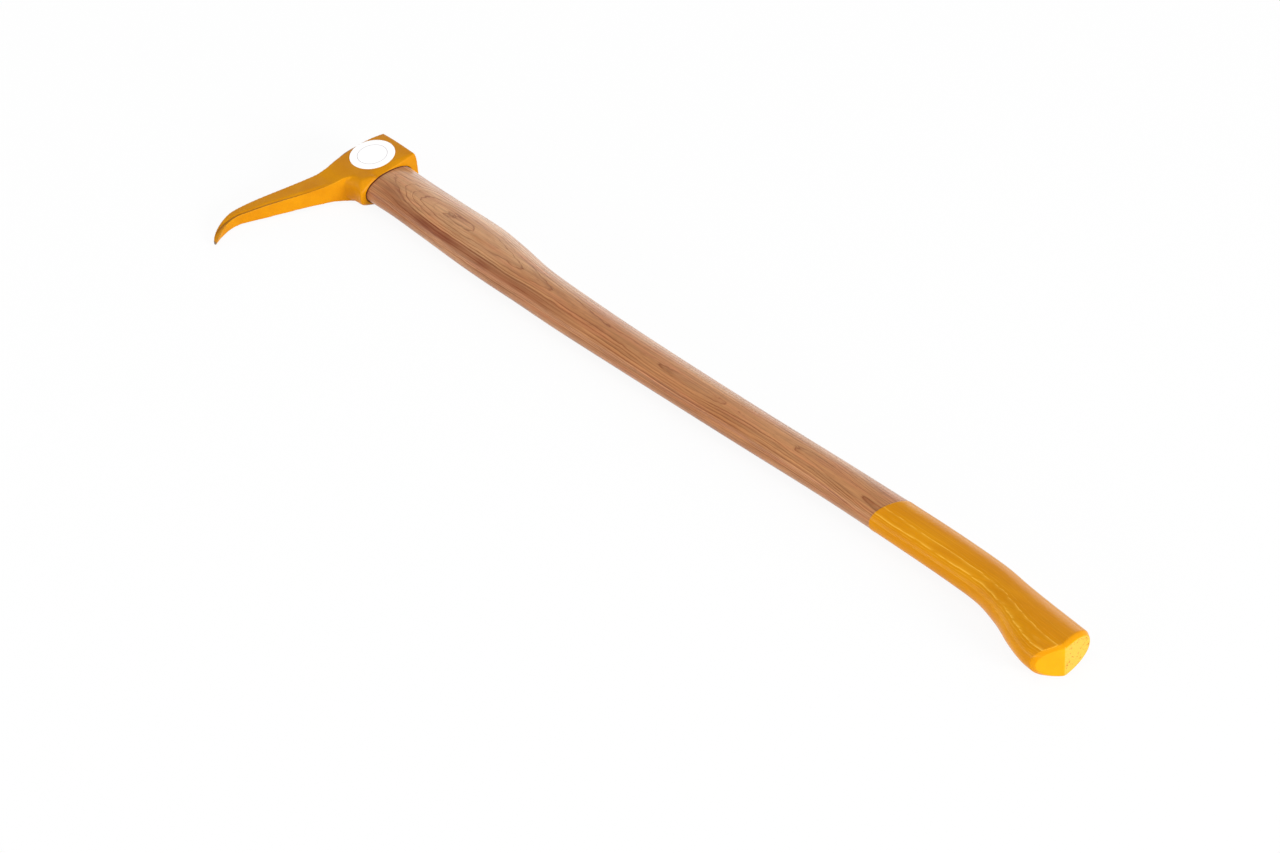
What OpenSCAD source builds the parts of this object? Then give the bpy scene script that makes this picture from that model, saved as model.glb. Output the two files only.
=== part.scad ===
// Log pick: forged pick head on a carved hickory handle with a dipped grip.
// Frame: the tool lies on its lower cheek. The origin is on that flat cheek, under
// the middle of the label on the other one. +X runs down the handle to the butt, +Y to
// the poll (back) side, and the beak points to -Y. +Z is up, square to the lower cheek.

/* [Handle] */
// Length of the handle from the top of the eye to the butt
handle_length = 898.5; // [800:0.5:1000]
// How far the handle end stands proud of the top of the eye
handle_proud = 2.0; // [0.5:0.1:4]
// Width of the handle where it leaves the head
shoulder_width = 52.0; // [48:0.5:55]
// Thickness of the handle where it leaves the head
shoulder_thickness = 26.4; // [24:0.2:28]
// Width of the belly below the head
belly_width = 54.4; // [50:0.2:60]
// Thickness of the belly
belly_thickness = 28.0; // [26:0.5:32]
// Width of the handle half way down
waist_width = 38.6; // [35:0.2:43]
// Thickness of the handle half way down
waist_thickness = 26.0; // [23:0.5:29]
// Width of the grip
grip_width = 37.2; // [34:0.2:42]
// Thickness of the grip
grip_thickness = 26.4; // [23:0.4:30]
// Width of the knob at the butt
knob_width = 52.6; // [46:0.2:58]
// Thickness of the knob at the butt
knob_thickness = 32.4; // [28:0.4:36]
// How far the middle of the handle sweeps toward the beak side
handle_sweep = 11.2; // [4:0.2:16]
// How far the middle of the knob drops toward the beak side
knob_drop = 30.4; // [24:0.2:34]
// Roundness of the handle section, 2 is an ellipse
handle_squareness = 2.2; // [2:0.05:2.8]

/* [Butt] */
// Distance of the ridge between the two butt facets from the middle of the knob
butt_ridge_offset = 5.6; // [0:0.2:10]
// Slope of the square end facet, in degrees
butt_end_slope = 4.5; // [0:0.5:8]
// Slope of the slanted toe facet, in degrees
butt_toe_slope = 36.0; // [25:1:45]
// Length of the bevel round the butt
butt_bevel_length = 4.0; // [2:0.5:8]
// Depth of the bevel round the butt
butt_bevel_depth = 2.2; // [1:0.2:5]

/* [Dip coat] */
// Length of the dipped grip from the butt
coat_length = 207.5; // [150:0.5:260]
// Thickness of the dip coat
coat_thickness = 0.35; // [0.2:0.05:0.8]
// Slant of the dip line across the handle, in degrees
dip_slant = 18.0; // [0:1:25]

/* [Head] */
// Half thickness of the cheeks on the eye axis
cheek_half = 16.1; // [15.4:0.1:18]
// Taper of each cheek toward the beak, in degrees
cheek_taper = 4.5; // [3:0.25:5.5]
// Height of the eye house along the handle below the label centre
house_below = 28.0; // [26:0.5:34]
// Distance of the top of the eye house above the label centre
house_above = 21.8; // [21.6:0.1:26]
// Distance of the poll face from the eye axis
poll_reach = 33.6; // [32.4:0.2:40]
// Distance of the rim front from the eye axis
rim_front = 32.5; // [31.5:0.25:36]
// Distance of the neck front from the eye axis, above the rim
neck_front = 31.2; // [30.4:0.2:31.8]
// Length of the flared rim along the handle
rim_length = 7.0; // [4:0.5:10]
// Depth of the sloping band at the rim
band_depth = 2.2; // [1:0.1:2.6]
// Extra depth of the neck front under the beak, for the fillet there
neck_fillet = 2.2; // [1:0.2:4]

/* [Beak] */
// Distance of the beak tip from the eye axis
beak_reach = 163.0; // [140:1:185]
// Height of the beak root along the handle
beak_root_height = 24.2; // [18:0.2:27]
// Half thickness of the beak where it leaves the house
beak_root_half = 9.6; // [8:0.2:11]
// Half thickness of the beak at the hook
beak_hook_half = 5.1; // [4.1:0.2:6.3]
// Half thickness of the tip
beak_tip_half = 1.0; // [0.8:0.1:2.4]
// Height of the beak at the hook
beak_hook_height = 10.2; // [7:0.2:12.4]
// Width of the blunt tip
beak_tip_width = 2.4; // [1.6:0.1:4]

/* [Eye] */
// Clearance between the handle and the eye, on each side
eye_clearance = 0.08; // [0.03:0.01:0.2]
// How much the eye narrows at its waist, on each side
eye_waist = 0.8; // [0.3:0.1:1.2]
// How much the eye opens at the top, in thickness, on each side
eye_flare = 0.9; // [0.3:0.1:1.4]
// Width of the open seam round the handle at the rim
eye_seam = 0.7; // [0.3:0.1:1]

/* [Wedges] */
// Length of the wooden wedge
wood_wedge_length = 32.0; // [24:0.5:40]
// Width of the wooden wedge
wood_wedge_width = 46.0; // [38:0.5:48]
// Thickness of the wooden wedge at its head
wood_wedge_head = 5.0; // [3.5:0.1:6.5]
// Thickness of the wooden wedge at its point
wood_wedge_point = 1.4; // [1:0.1:2]
// Length of each steel wedge
steel_wedge_length = 20.0; // [14:0.5:22]
// Width of each steel wedge
steel_wedge_width = 19.0; // [14:0.5:21]
// Thickness of each steel wedge at its head
steel_wedge_head = 3.0; // [2:0.1:4]
// Thickness of each steel wedge at its point
steel_wedge_point = 0.6; // [0.4:0.1:1]
// Distance of each steel wedge from the eye axis
steel_wedge_offset = 11.0; // [8:0.5:15]
// How far the wooden wedge stands proud of the handle end
wood_wedge_proud = 0.6; // [0:0.1:2]
// How far the steel wedges stand proud of the handle end
steel_wedge_proud = 0.3; // [0:0.1:1]

/* [Label] */
// Radius of the paper label
label_radius = 20.8; // [15:0.1:20.8]
// Thickness of the paper label
label_thickness = 0.25; // [0.15:0.05:0.5]

/* [Hidden] */

// Points round each section of the handle.
ring_n = 36;
// Every piece is drawn about the axis of the eye, then laid down on the lower cheek.
label_y = 5;
module laid() {
    rotate([cheek_taper, 0, 0])
        translate([0, -label_y, cheek(label_y)])
            children();
}
// How far a cutting shape runs past what it cuts.
cut_over = 3;
x_top = -house_above - handle_proud;
x_butt = x_top + handle_length;
// Distances down the handle are given for a handle of 898.5 and stretch with it.
k_len = (x_butt - house_below) / (874.7 - 28);
function down(x) = house_below + (x - 28) * k_len;

// Smooth curve through rows [x, v1, v2, ...], value column c.
function slope(t, i, c) =
    i <= 0 ? (t[1][c] - t[0][c]) / (t[1][0] - t[0][0]) :
    i >= len(t) - 1 ? (t[i][c] - t[i - 1][c]) / (t[i][0] - t[i - 1][0]) :
    (t[i + 1][c] - t[i - 1][c]) / (t[i + 1][0] - t[i - 1][0]);
function seg(t, x, i = 0) = i >= len(t) - 2 || x < t[i + 1][0] ? i : seg(t, x, i + 1);
function herm(p, m, q, n, h, u) =
    p * (2 * u * u * u - 3 * u * u + 1) + m * h * (u * u * u - 2 * u * u + u)
    + q * (3 * u * u - 2 * u * u * u) + n * h * (u * u * u - u * u);
function along(t, x, c) =
    let (i = seg(t, x), h = t[i + 1][0] - t[i][0], u = (x - t[i][0]) / h)
    herm(t[i][c], slope(t, i, c), t[i + 1][c], slope(t, i + 1, c), h, u);

// Section of superellipse points, starting on the +Y side.
function spow(v, e) = v < 0 ? -pow(-v, e) : pow(v, e);
function oval_y(a, k) = a * spow(cos(360 * k / ring_n), 2 / handle_squareness);
function oval_z(b, k) = b * spow(sin(360 * k / ring_n), 2 / handle_squareness);

// Faces between m rings of n points each, numbered from point o.
function skin_faces(m, n, o) = [for (i = [0 : m - 2]) for (k = [0 : n - 1]) for (s = [0, 1])
    let (a = o + i * n + k, b = o + i * n + (k + 1) % n)
    s == 0 ? [a, a + n, b] : [b, a + n, b + n]];
function turned(fs) = [for (f = fs) [for (i = [len(f) - 1 : -1 : 0]) f[i]]];

// Solid through a list of rings with the same number of points.
module skin_rings(rings) {
    m = len(rings);
    n = len(rings[0]);
    polyhedron(
        points = [for (r = rings) for (p = r) p],
        faces = concat(
            [[for (k = [0 : n - 1]) k]],
            skin_faces(m, n, 0),
            [[for (k = [n - 1 : -1 : 0]) (m - 1) * n + k]]),
        convexity = 8);
}

// Handle: distance down, middle, half width, half thickness.
grip_to_knob = (grip_width + knob_width) / 4;
plan = [
    [down(28),  0, shoulder_width / 2, shoulder_thickness / 2],
    [down(60),  -handle_sweep * 0.04, shoulder_width / 2 - 0.7, shoulder_thickness / 2],
    [down(110), -handle_sweep * 0.17, belly_width / 2 - 1.1, belly_thickness / 2 - 0.3],
    [down(160), -handle_sweep * 0.30, belly_width / 2, belly_thickness / 2],
    [down(195), -handle_sweep * 0.51, belly_width / 2 - 1.5, belly_thickness / 2 - 0.1],
    [down(235), -handle_sweep * 0.785, waist_width / 2 + 3.3, waist_thickness / 2 + 0.7],
    [down(290), -handle_sweep * 0.95, waist_width / 2 + 2.2, waist_thickness / 2 + 0.3],
    [down(375), -handle_sweep, waist_width / 2 + 0.7, waist_thickness / 2],
    [down(500), -handle_sweep * 0.915, waist_width / 2 - 0.4, waist_thickness / 2],
    [down(610), -handle_sweep * 0.755, grip_width / 2 - 0.1, grip_thickness / 2 - 0.1],
    [down(700), -handle_sweep * 0.77, grip_width / 2 + 0.5, grip_thickness / 2],
    [down(750), -handle_sweep * 0.875, grip_width / 2 + 0.4, grip_thickness / 2 + 0.5],
    [down(780), -handle_sweep * 1.06, grip_width / 2 + 0.5, grip_thickness / 2 + 1.1],
    [down(805), -knob_drop * 0.57, grip_to_knob - 1.7, (grip_thickness + knob_thickness) / 4 + 0.4],
    [down(830), -knob_drop * 0.78, knob_width / 2 - 2, knob_thickness / 2 - 0.3],
    [down(855), -knob_drop * 0.925, knob_width / 2, knob_thickness / 2],
    [down(880), -knob_drop, knob_width / 2 - 0.3, knob_thickness / 2]];

// Eye, from the top down: distance, half width, half thickness.
eye = [
    [-house_above - 6, shoulder_width / 2 + 0.2, shoulder_thickness / 2 + eye_flare + 0.2],
    [-house_above, shoulder_width / 2, shoulder_thickness / 2 + eye_flare],
    [house_below * 0.35, shoulder_width / 2 - eye_waist, shoulder_thickness / 2 - eye_waist / 2],
    [house_below, shoulder_width / 2, shoulder_thickness / 2]];

// Butt: where the two cuts stand at a distance y from the eye axis.
ridge_y = -knob_drop - butt_ridge_offset;
function butt_x(y) = y > ridge_y
    ? x_butt - (y - ridge_y) * tan(butt_end_slope)
    : x_butt + (y - ridge_y) * tan(butt_toe_slope);
butt_from = down(790);
function butt_mix(u) = u <= butt_from ? 0
    : pow(min(1, (u - butt_from) / (x_butt - butt_from)), 1.6);
// The point of each ring that runs onto the ridge of the butt, and its mirror.
ridge_k = 10;
// The rings lean with the dip line, less and less over this distance to both sides of it.
dip_fade = 90;
function dip_lean(u) = tan(dip_slant) * max(0, 1 - abs(u - coat_start) / dip_fade);
function lean(k) = k <= ridge_k ? k / ridge_k : k <= ring_n / 2 ? (ring_n / 2 - k) / (ring_n / 2 - ridge_k)
    : -lean(ring_n - k);
function ring_at(u, grow) =
    let (
        inside = u <= house_below,
        mix = butt_mix(u),
        over = max(0, u - (x_butt - butt_bevel_length)) / butt_bevel_length,
        inset = butt_bevel_depth * pow(over, 1.3),
        a = (inside ? along(eye, u, 1) - eye_clearance : along(plan, u, 2)) - inset + grow,
        c = inside ? 0 : along(plan, u, 1),
        b = (inside ? along(eye, u, 2) - eye_clearance : along(plan, u, 3)) - inset + grow,
        step = 360 / ring_n,
        to_ridge = max(-0.9, min(0.9, (ridge_y - c) / a)),
        turn = acos(spow(to_ridge, handle_squareness / 2)) - ridge_k * step)
    [for (k = [0 : ring_n - 1])
        let (
            t = k * step + mix * turn * lean(k),
            y = c + a * spow(cos(t), 2 / handle_squareness),
            z = b * spow(sin(t), 2 / handle_squareness))
        [u - mix * (x_butt - butt_x(y) - grow) + dip_lean(u) * (y - c), y, z]];

coat_start = x_butt - coat_length;
eye_steps = [x_top, -house_above, -house_above * 0.5, 0, house_below * 0.35, house_below * 0.7, house_below];
shaft_steps = [for (i = [1 : 39]) house_below + (coat_start - house_below) * i / 40];
grip_steps = concat([for (i = [0 : 7]) coat_start + (butt_from - 14 - coat_start) * i / 8],
    [for (i = [0 : 12]) butt_from - 14 + (x_butt - butt_bevel_length - butt_from + 14) * i / 13]);
end_steps = [x_butt - butt_bevel_length * 0.5, x_butt - butt_bevel_length * 0.2, x_butt];

// The toe facet and the end facet, on a last ring numbered from point o.
function butt_faces(o) = [
    [for (k = [ring_n - ridge_k : -1 : ridge_k]) o + k],
    concat([for (k = [ridge_k : -1 : 0]) o + k], [for (k = [ring_n - 1 : -1 : ring_n - ridge_k]) o + k])];

module handle_blank() {
    rings = [for (u = concat(eye_steps, shaft_steps, grip_steps, end_steps)) ring_at(u, 0)];
    m = len(rings);
    polyhedron(
        points = [for (r = rings) for (p = r) p],
        faces = concat([[for (k = [0 : ring_n - 1]) k]], skin_faces(m, ring_n, 0),
            butt_faces((m - 1) * ring_n)),
        convexity = 8);
}

// Flat wedge along -X to +X, head at x_top, thick across its own Z.
module flat_wedge(length, width, head, point, proud) {
    t = head + (head - point) * proud / length;
    rotate([90, 0, 0])
        linear_extrude(height = width, center = true)
            polygon([[-proud, -t / 2], [length, -point / 2], [length, point / 2], [-proud, t / 2]]);
}

module wood_wedge_shape(proud, width) {
    translate([x_top, 0, 0])
        flat_wedge(wood_wedge_length, width, wood_wedge_head, wood_wedge_point, proud);
}
module steel_wedge_shape(side, proud) {
    translate([x_top, side * steel_wedge_offset, 0])
        rotate([90, 0, 0])
            flat_wedge(steel_wedge_length, steel_wedge_width, steel_wedge_head, steel_wedge_point, proud);
}

module handle() {
    color([0.76, 0.58, 0.42])
    laid() difference() {
        handle_blank();
        // saw kerf, spread to the taper of the wooden wedge
        wood_wedge_shape(cut_over, shoulder_width + 2 * cut_over);
        steel_wedge_shape(1, cut_over);
        steel_wedge_shape(-1, cut_over);
    }
}

module wood_wedge() {
    color([0.68, 0.50, 0.34])
    laid() difference() {
        wood_wedge_shape(wood_wedge_proud, wood_wedge_width);
        steel_wedge_shape(1, cut_over);
        steel_wedge_shape(-1, cut_over);
    }
}

module steel_wedge_poll() {
    color([0.55, 0.56, 0.58]) laid() steel_wedge_shape(1, steel_wedge_proud);
}

module steel_wedge_beak() {
    color([0.55, 0.56, 0.58]) laid() steel_wedge_shape(-1, steel_wedge_proud);
}

module grip_coat() {
    // a cup: outer skin, the bare wood's own skin turned inward, and the dip line
    steps = concat(grip_steps, end_steps);
    m = len(steps);
    o = m * ring_n;
    color([0.90, 0.60, 0.05])
    laid() polyhedron(
        points = concat([for (u = steps) for (p = ring_at(u, coat_thickness)) p],
            [for (u = steps) for (p = ring_at(u, 0)) p]),
        faces = concat(
            skin_faces(m, ring_n, 0), butt_faces((m - 1) * ring_n),
            turned(skin_faces(m, ring_n, o)), turned(butt_faces(o + (m - 1) * ring_n)),
            [for (k = [0 : ring_n - 1]) let (l = (k + 1) % ring_n) [k, l, o + l, o + k]]),
        convexity = 8);
}

// Cheek half thickness at a distance y from the eye axis.
function cheek(y) = cheek_half + y * tan(cheek_taper);
k_beak = (beak_reach - neck_front) / (162 - 30.2);
function out(y) = y > -30.2 ? y : -neck_front + (y + 30.2) * k_beak;
half_rows = [
    [out(-163.5), beak_tip_half - 0.1],
    [out(-158), beak_tip_half + 0.3],
    [out(-147), (beak_tip_half + beak_hook_half) / 2 - 0.1],
    [out(-137), beak_hook_half - 1.1],
    [out(-126), beak_hook_half - 0.1],
    [out(-100), beak_hook_half + (beak_root_half - beak_hook_half) * 0.33],
    [out(-74), beak_hook_half + (beak_root_half - beak_hook_half) * 0.62],
    [out(-52), beak_root_half - 0.4],
    [out(-41), beak_root_half + 0.4],
    [out(-32), (beak_root_half + cheek(-22)) / 2 + 0.5],
    [-22, cheek(-22)]];
half_n = 28;
half_ys = [for (i = [0 : half_n]) out(-163.5) + (-22 - out(-163.5)) * i / half_n];
function half_at(y) = along(half_rows, y, 1);

// Thickness profile of the whole head, seen along the handle.
module side_profile(length) {
    upper = concat([for (y = half_ys) [y, half_at(y)]], [[poll_reach + 2, cheek(poll_reach + 2)]]);
    n = len(upper);
    rotate([90, 0, 90])
        linear_extrude(height = length, center = true)
            polygon(concat(upper, [for (i = [n - 1 : -1 : 0]) [upper[i][0], -upper[i][1]]]));
}

function bez(p, n, first) = [for (i = [first : n]) let (t = i / n, s = 1 - t)
    s * s * s * p[0] + 3 * s * s * t * p[1] + 3 * s * t * t * p[2] + t * t * t * p[3]];
function o(x, y) = [x, out(y)];
// Beak: top and bottom of the root, back and belly of the hook, and the tip.
root_top = -19.5;
root_bottom = root_top + beak_root_height;
hook_x = -37.8;
hook_in = hook_x + beak_hook_height;
tip_x = -16.0;
top = -house_above;

// Plan of the top of the house and of the beak, cheek edges only.
top_curve = bez([[top + 4.6, poll_reach - 2], [top - 1.2, 14], [top - 1.2, -8],
    [root_top, out(-31)]], 10, 0);
beak_top = bez([[root_top, out(-31)], o(root_top - 2.6, -58), o(hook_x + 1.0, -98),
    o(hook_x, -124)], 14, 1);
hook_out = bez([o(hook_x, -124), o(hook_x - 0.8, -135), o(tip_x - 11.3, -156.5),
    o(tip_x, -162)], 12, 1);
tip_in = o(tip_x + beak_tip_width * 0.3, -162 + beak_tip_width * 0.85);
hook_under = bez([tip_in, o(tip_x - 5.6, -151), o(hook_in - 2, -137), o(hook_in, -124)], 12, 0);
beak_under = bez([o(hook_in, -124), o(hook_in + 8.6, -96), o(root_bottom - 7.8, -55),
    [root_bottom, out(-33)]], 12, 1);
root_under = bez([[root_bottom, out(-33)], [root_bottom + 1.5, -30.5],
    [root_bottom + 4, -27.5], [root_bottom + 8, -22]], 4, 1);

module beak_plan() {
    linear_extrude(height = 60, center = true)
        polygon(concat([[0, 0], [top + 1.5, 0]], [for (p = top_curve) if (p[1] < -2) p],
            beak_top, hook_out, [o(tip_x + beak_tip_width * 0.42, -162 + beak_tip_width * 0.3)],
            hook_under, beak_under, root_under));
}

// Eye house: rings across the handle axis, boxy at the poll, oval at the front.
// Rows: distance down, front, squareness of the front.
neck_round = 2.9;
house_rows = [
    [-30, neck_front + neck_fillet, neck_round],
    [house_below - 23, neck_front + neck_fillet, neck_round],
    [house_below - 18, neck_front + neck_fillet * 0.43, neck_round],
    [house_below - rim_length - 5, neck_front, neck_round],
    [house_below - rim_length * 0.6, (neck_front + rim_front) / 2 - 0.4, neck_round],
    [house_below - rim_length * 0.25, rim_front - 0.3, neck_round - 0.1],
    [house_below, rim_front, neck_round - 0.2]];
house_xs = concat([-30, -12], [for (i = [0 : 14]) house_below - 24 + 24 * i / 14]);
// The rings reach a little past the cheeks, which then cut them flat.
ring_half = 18.2;
ring_over = 2.6;
ring_mid = 4;
function house_ring(x) =
    let (f = along(house_rows, x, 1), q = along(house_rows, x, 2))
    concat(
        [for (k = [-11 : 11]) let (t = k * 90 / 12)
            [x, ring_mid + (poll_reach - ring_mid) * spow(cos(t), 0.13),
                (ring_half + ring_over) * spow(sin(t), 0.62)]],
        [for (k = [-12 : 12]) let (t = 180 + k * 90 / 12, over = abs(k) == 12 ? ring_over : 0)
            [x, ring_mid + (f + ring_mid) * spow(cos(t), 2 / q),
                (ring_half + over) * spow(sin(t), 2 / q)]]);

module house() {
    intersection() {
        skin_rings([for (x = house_xs) house_ring(x)]);
        side_profile(120);
        linear_extrude(height = 60, center = true)
            polygon(concat([[house_below, poll_reach + cut_over], [top + 6, poll_reach + cut_over]],
                top_curve, [[root_top, -60], [house_below, -60]]));
    }
}

// The seam opens over the last stretch of the eye.
seam_start = house_below - 1.4;
module eye_cut() {
    skin_rings([for (u = [top - cut_over, top, top * 0.5, 0, house_below * 0.35, house_below * 0.7,
            seam_start, house_below, house_below + cut_over])
        let (g = u > seam_start ? eye_seam : 0, v = min(u, house_below))
        [for (k = [0 : ring_n - 1])
            [u, oval_y(along(eye, v, 1) + g, k), oval_z(along(eye, v, 2) + g, k)]]]);
}

// Sloping band on one cheek, under a crease that runs from point p to point q.
// p, q: [x, y] on the cheek; dp, dq: depth of the band at the rim beside them.
module band_cut(p, q, dp, dq) {
    zp = cheek(p[1]);
    zq = cheek(q[1]);
    e = house_below + cut_over;
    up = 12;
    sp = dp / (house_below - p[0]) * (e - p[0]);
    sq = dq / (house_below - q[0]) * (e - q[0]);
    polyhedron(
        points = [
            [p[0], p[1], zp], [q[0], q[1], zq], [e, q[1], zq - sq], [e, p[1], zp - sp],
            [p[0], p[1], zp + up], [q[0], q[1], zq + up], [e, q[1], zq + up], [e, p[1], zp + up]],
        faces = [[0, 1, 2], [0, 2, 3], [7, 6, 5, 4], [4, 5, 1], [4, 1, 0], [5, 6, 2], [5, 2, 1],
            [6, 7, 3], [6, 3, 2], [7, 4, 0], [7, 0, 3]]);
}

// Plane that runs off the front corner of the rim, from a point on the rim's edge.
corner_turn = -31.8;
corner_lean = 41.2;
module corner_cut() {
    translate([house_below, 9.6 - rim_front, 9.8])
        rotate([0, 0, corner_turn])
            rotate([0, corner_lean, 0])
                translate([-30, -30, 0])
                    cube([60, 60, 30]);
}

module pick_head() {
    color([0.93, 0.62, 0.08])
    laid() difference() {
        union() {
            house();
            intersection() {
                beak_plan();
                side_profile(120);
            }
        }
        eye_cut();
        for (s = [0, 1]) mirror([0, 0, s]) {
            band_cut([house_below - 1.6, poll_reach + 1], [house_below - 9.2, -13], 0.3, band_depth);
            corner_cut();
        }
    }
}

module head_label() {
    color([0.96, 0.96, 0.95])
    laid() translate([0, label_y, cheek(label_y)])
        rotate([cheek_taper, 0, 0])
            cylinder(r = label_radius, h = label_thickness, $fn = 72);
}

pick_head();
handle();
grip_coat();
wood_wedge();
steel_wedge_poll();
steel_wedge_beak();
head_label();
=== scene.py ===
"""A log pick as it lies on a studio table, put together piece by piece around its CAD frame."""

import math

import bmesh
import bpy
import numpy as np
from mathutils import Euler, Matrix, Vector


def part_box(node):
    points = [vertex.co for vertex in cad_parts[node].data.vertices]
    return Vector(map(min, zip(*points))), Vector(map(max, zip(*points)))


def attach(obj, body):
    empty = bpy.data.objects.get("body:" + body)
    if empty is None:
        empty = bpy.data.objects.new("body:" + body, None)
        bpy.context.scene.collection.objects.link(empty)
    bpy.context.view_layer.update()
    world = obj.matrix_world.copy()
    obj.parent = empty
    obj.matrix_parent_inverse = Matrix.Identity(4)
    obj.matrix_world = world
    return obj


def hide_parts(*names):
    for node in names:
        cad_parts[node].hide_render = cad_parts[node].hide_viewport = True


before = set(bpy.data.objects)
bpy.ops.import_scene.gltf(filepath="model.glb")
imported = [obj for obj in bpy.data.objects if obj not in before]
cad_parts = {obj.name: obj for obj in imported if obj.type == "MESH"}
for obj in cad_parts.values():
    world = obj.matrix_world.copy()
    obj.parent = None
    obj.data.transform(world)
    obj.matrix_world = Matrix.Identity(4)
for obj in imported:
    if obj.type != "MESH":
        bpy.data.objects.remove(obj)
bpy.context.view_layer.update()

# STUDIO
# A large pale sheet under the tool, soft light from boxes, and the camera. The tool
# lies on its lower cheek and on the knob, so the sheet is sloped to touch both.

# places and sizes in the studio are in metres, and turns in degrees
CAMERA_PLACE = (2.09304, -1.549231, 1.665265)
CAMERA_TURN = (53.19053, 0.2839, 48.05915)
CAMERA_LENS = 95.625
SHEET_WHITE = (0.93, 0.93, 0.93, 1.0)
SHEET_HALF = 6.0
# how far down the tool the knob touches the sheet
KNOB_TOUCHES = 0.832
# the share of pure white in the sheet as the camera sees it, and the light of the room
SHEET_GLOW = 0.92
WHITE = (1, 1, 1, 1)
ROOM_LIGHT = 0.44
LAMPS_AIM = Vector((0.4, 0, 0))


def in_scene(name, data):
    """An object of its own in the scene, around a mesh, a lamp or a camera."""
    made = bpy.data.objects.new(name, data)
    bpy.context.collection.objects.link(made)
    return made


def fill(tree, made, sockets):
    """Gives a node its sockets, by name or number, as values or as outputs to link."""
    for key, value in sockets.items():
        if isinstance(value, bpy.types.NodeSocket):
            tree.links.new(value, made.inputs[key])
        else:
            made.inputs[key].default_value = value


def node(tree, kind, sockets=None, **settings):
    """A node in a tree, with its settings made before its sockets are filled."""
    made = tree.nodes.new(kind)
    for name, value in settings.items():
        setattr(made, name, value)
    fill(tree, made, sockets or {})
    return made


def maths(tree, operation, *values):
    """The result of a sum in a node tree."""
    return node(tree, "ShaderNodeMath", dict(enumerate(values)), operation=operation).outputs[0]


def new_material(name):
    """An empty material, its tree and its surface shader."""
    made = bpy.data.materials.new(name)
    made.use_nodes = True
    return made, made.node_tree, made.node_tree.nodes["Principled BSDF"]


def seen_in_picture(tree):
    """1 for a ray that ends in the picture, straight or by gloss or glass, and 0 for other light."""
    rays = node(tree, "ShaderNodeLightPath").outputs
    seen = maths(tree, "ADD", rays["Is Camera Ray"], rays["Is Glossy Ray"])
    return maths(tree, "ADD", seen, rays["Is Transmission Ray"])


def mixed(tree, factor, first, second):
    """The output of one shader mixed into another."""
    return node(tree, "ShaderNodeMixShader", {0: factor, 1: first, 2: second}).outputs[0]


camera_data = bpy.data.cameras.new("camera")
camera_data.lens = CAMERA_LENS
camera_data.sensor_width = 36
camera_data.clip_end = 50
camera = in_scene("camera", camera_data)
camera.location = CAMERA_PLACE
camera.rotation_euler = Euler([math.radians(turn) for turn in CAMERA_TURN])
scene = bpy.context.scene
scene.camera = camera
scene.view_settings.view_transform = "Standard"

head_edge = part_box("pick_head")[0].x
sheet_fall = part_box("grip_coat")[0].z / (KNOB_TOUCHES - head_edge)
sheet_corners = [
    (head_edge + SHEET_HALF * x, SHEET_HALF * y, sheet_fall * SHEET_HALF * x)
    for x, y in ((-1, -1), (1, -1), (1, 1), (-1, 1))
]
sheet_mesh = bpy.data.meshes.new("sheet")
sheet_mesh.from_pydata(sheet_corners, [], [(0, 1, 2, 3)])
sheet = in_scene("sheet", sheet_mesh)

sheet_material, tree, shader = new_material("sheet_white")
fill(tree, shader, {"Base Color": SHEET_WHITE, "Roughness": 0.9, "Specular IOR Level": 0.2})
lit = shader.outputs[0]
glow = node(tree, "ShaderNodeEmission", {"Color": WHITE, "Strength": 1.0}).outputs[0]
surface = mixed(tree, seen_in_picture(tree), lit, mixed(tree, SHEET_GLOW, lit, glow))
tree.links.new(surface, tree.nodes["Material Output"].inputs["Surface"])
sheet_mesh.materials.append(sheet_material)

world = bpy.data.worlds.new("studio")
scene.world = world
world.use_nodes = True
tree = world.node_tree
room = tree.nodes["Background"]
fill(tree, room, {"Color": WHITE, "Strength": ROOM_LIGHT})
backdrop = node(tree, "ShaderNodeBackground", {"Color": WHITE, "Strength": 1.0})
surface = mixed(tree, seen_in_picture(tree), room.outputs[0], backdrop.outputs[0])
tree.links.new(surface, tree.nodes["World Output"].inputs["Surface"])


def soft_box(name, place, size, power):
    """A studio lamp with a pale cloth front, turned to the tool."""
    data = bpy.data.lights.new(name, "AREA")
    data.shape = "RECTANGLE"
    data.size, data.size_y = size
    data.energy = power
    lamp = in_scene(name, data)
    lamp.location = place
    lamp.rotation_euler = (LAMPS_AIM - Vector(place)).to_track_quat("-Z", "Y").to_euler()


soft_box("box_at_the_butt", (6.2, 0.5, 1.6), (2.6, 2.0), 410)
soft_box("box_overhead", (0.3, -0.4, 2.6), (2.2, 1.8), 13)
soft_box("box_front", (0.4, -3.0, 0.4), (3.0, 0.8), 38)
soft_box("box_left", (-2.2, -2.4, 0.5), (3.2, 1.6), 35)
soft_box("box_behind", (-2.0, 2.7, 0.85), (3.6, 2.0), 48)

# HANDLE
# A stick of hickory, turned and sanded to a swept oval with a drooped knob, and
# varnished clear. Its top end is sawn and wedged in the eye of the head.

# places and sizes on the stick are in millimetres, and x is the distance down it from the eye
HOUSE_BELOW = 28.0
HOUSE_ABOVE = 21.8
EYE_WAIST = 9.8
HANDLE_LENGTH = 898.5
END_PROUD = 2.0
TOP = -HOUSE_ABOVE - END_PROUD
BUTT = TOP + HANDLE_LENGTH
SQUARENESS = 2.2
# how finely the skin of the stick is made, and the angle in degrees from which an edge stays sharp
STICK_POINTS = 144
TONGUE_STEP, TONGUE_STEPS = 1.5, 35
BARE_STEPS = 280
STICK_EDGES = 28
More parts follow.
